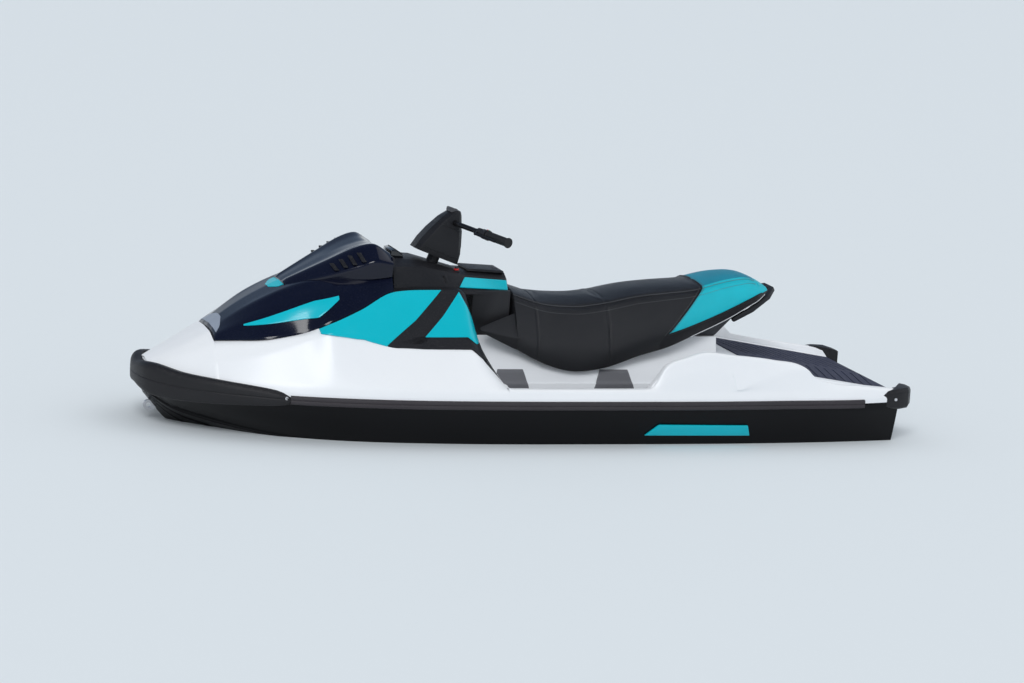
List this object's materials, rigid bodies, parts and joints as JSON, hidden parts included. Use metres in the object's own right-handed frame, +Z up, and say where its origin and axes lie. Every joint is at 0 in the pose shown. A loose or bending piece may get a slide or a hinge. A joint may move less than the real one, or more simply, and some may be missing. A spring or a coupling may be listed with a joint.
{
  "type": "personal watercraft",
  "caption": "Personal watercraft with moulded deck, opening hood and seat, turning handlebar, jet pump, steering nozzle and reverse bucket.",
  "frame": {"origin": "centreline amidships at the waterline", "axes": "+X to the bow, +Y to port, +Z up"},
  "size_m": [3.373, 1.224, 1.1336],
  "materials": {
    "hull_black": "gloss",
    "deck_white": "gloss",
    "bumper_rubber": "satin",
    "teal": "gloss",
    "trim_black": "satin",
    "hood_black": "gloss",
    "gauge": "gloss",
    "base_grey": "satin",
    "mat": "matt",
    "engine": "matt",
    "pump_metal": "satin",
    "fittings": "satin",
    "mirror": "polished",
    "seat_vinyl": "satin",
    "bar_metal": "satin",
    "grip_rubber": "matt",
    "impeller": "satin"
  },
  "bodies": {
    "hull": {"hull": "hull_black", "deck": "deck_white", "bow_bumper": "bumper_rubber", "rub_rail_port": "bumper_rubber", "rub_rail_starboard": "bumper_rubber", "stern_bumper_port": "bumper_rubber", "stern_bumper_starboard": "bumper_rubber", "sponson_port": "teal", "sponson_starboard": "teal", "fairing_port": "teal", "fairing_starboard": "teal", "fairing_trim_port": "trim_black", "fairing_trim_starboard": "trim_black", "knee_panel_port": "teal", "knee_panel_starboard": "teal", "console": "trim_black", "console_flank_port": "teal", "console_flank_starboard": "teal", "gauge": "gauge", "seat_base": "base_grey", "grab_handle": "trim_black", "footwell_mat_port": "mat", "footwell_mat_starboard": "mat", "stern_mat": "mat", "engine": "engine", "ride_plate": "pump_metal", "intake_grate": "pump_metal", "pump_housing": "pump_metal", "bow_eye": "fittings", "stern_eye_port": "fittings", "stern_eye_starboard": "fittings"},
    "hood": {"hood": "hood_black", "hood_cowl": "hood_black", "hood_inlay_port": "teal", "hood_inlay_starboard": "teal", "mirror_port": "mirror", "mirror_starboard": "mirror"},
    "glove_lid": {"glove_lid": "trim_black"},
    "seat": {"seat": "seat_vinyl", "seat_tail": "teal"},
    "steering": {"steering_column": "trim_black", "handlebar": "bar_metal", "handlebar_cover": "trim_black", "grip_port": "grip_rubber", "grip_starboard": "grip_rubber", "brake_lever": "trim_black", "throttle_lever": "trim_black"},
    "nozzle": {"steering_nozzle": "pump_metal"},
    "reverse": {"reverse_bucket": "pump_metal"},
    "impeller": {"impeller": "impeller"}
  },
  "joints": [
    {"name": "steering_turn", "type": "hinge", "parent": "hull", "child": "steering", "pos_m": [0.4, 0, 0.705], "axis": [-0.342, 0, 0.9397], "range_deg": [-22, 22]},
    {"name": "nozzle_swing", "type": "hinge", "parent": "hull", "child": "nozzle", "pos_m": [-1.345, 0, -0.07], "axis": [0, 0, 1], "range_deg": [-22, 22]},
    {"name": "reverse_drop", "type": "hinge", "parent": "hull", "child": "reverse", "pos_m": [-1.4, 0, -0.07], "axis": [0, -1, 0], "range_deg": [0, 65]},
    {"name": "impeller_spin", "type": "hinge", "parent": "hull", "child": "impeller", "pos_m": [-1.056, 0, -0.07], "axis": [1, 0, 0], "continuous": true},
    {"name": "hood_lift", "type": "hinge", "parent": "hull", "child": "hood", "pos_m": [1.386, 0, 0.393], "axis": [0, 1, 0], "range_deg": [0, 55]},
    {"name": "glove_lid_lift", "type": "hinge", "parent": "hull", "child": "glove_lid", "pos_m": [0.269, 0, 0.6612], "axis": [0, 1, 0], "range_deg": [0, 60]},
    {"name": "seat_lift", "type": "hinge", "parent": "hull", "child": "seat", "pos_m": [0.085, 0, 0.6], "axis": [0, 1, 0], "range_deg": [0, 45]}
  ],
  "couplings": [
    {"joint": "nozzle_swing", "follows": "steering_turn", "ratio": -1}
  ]
}
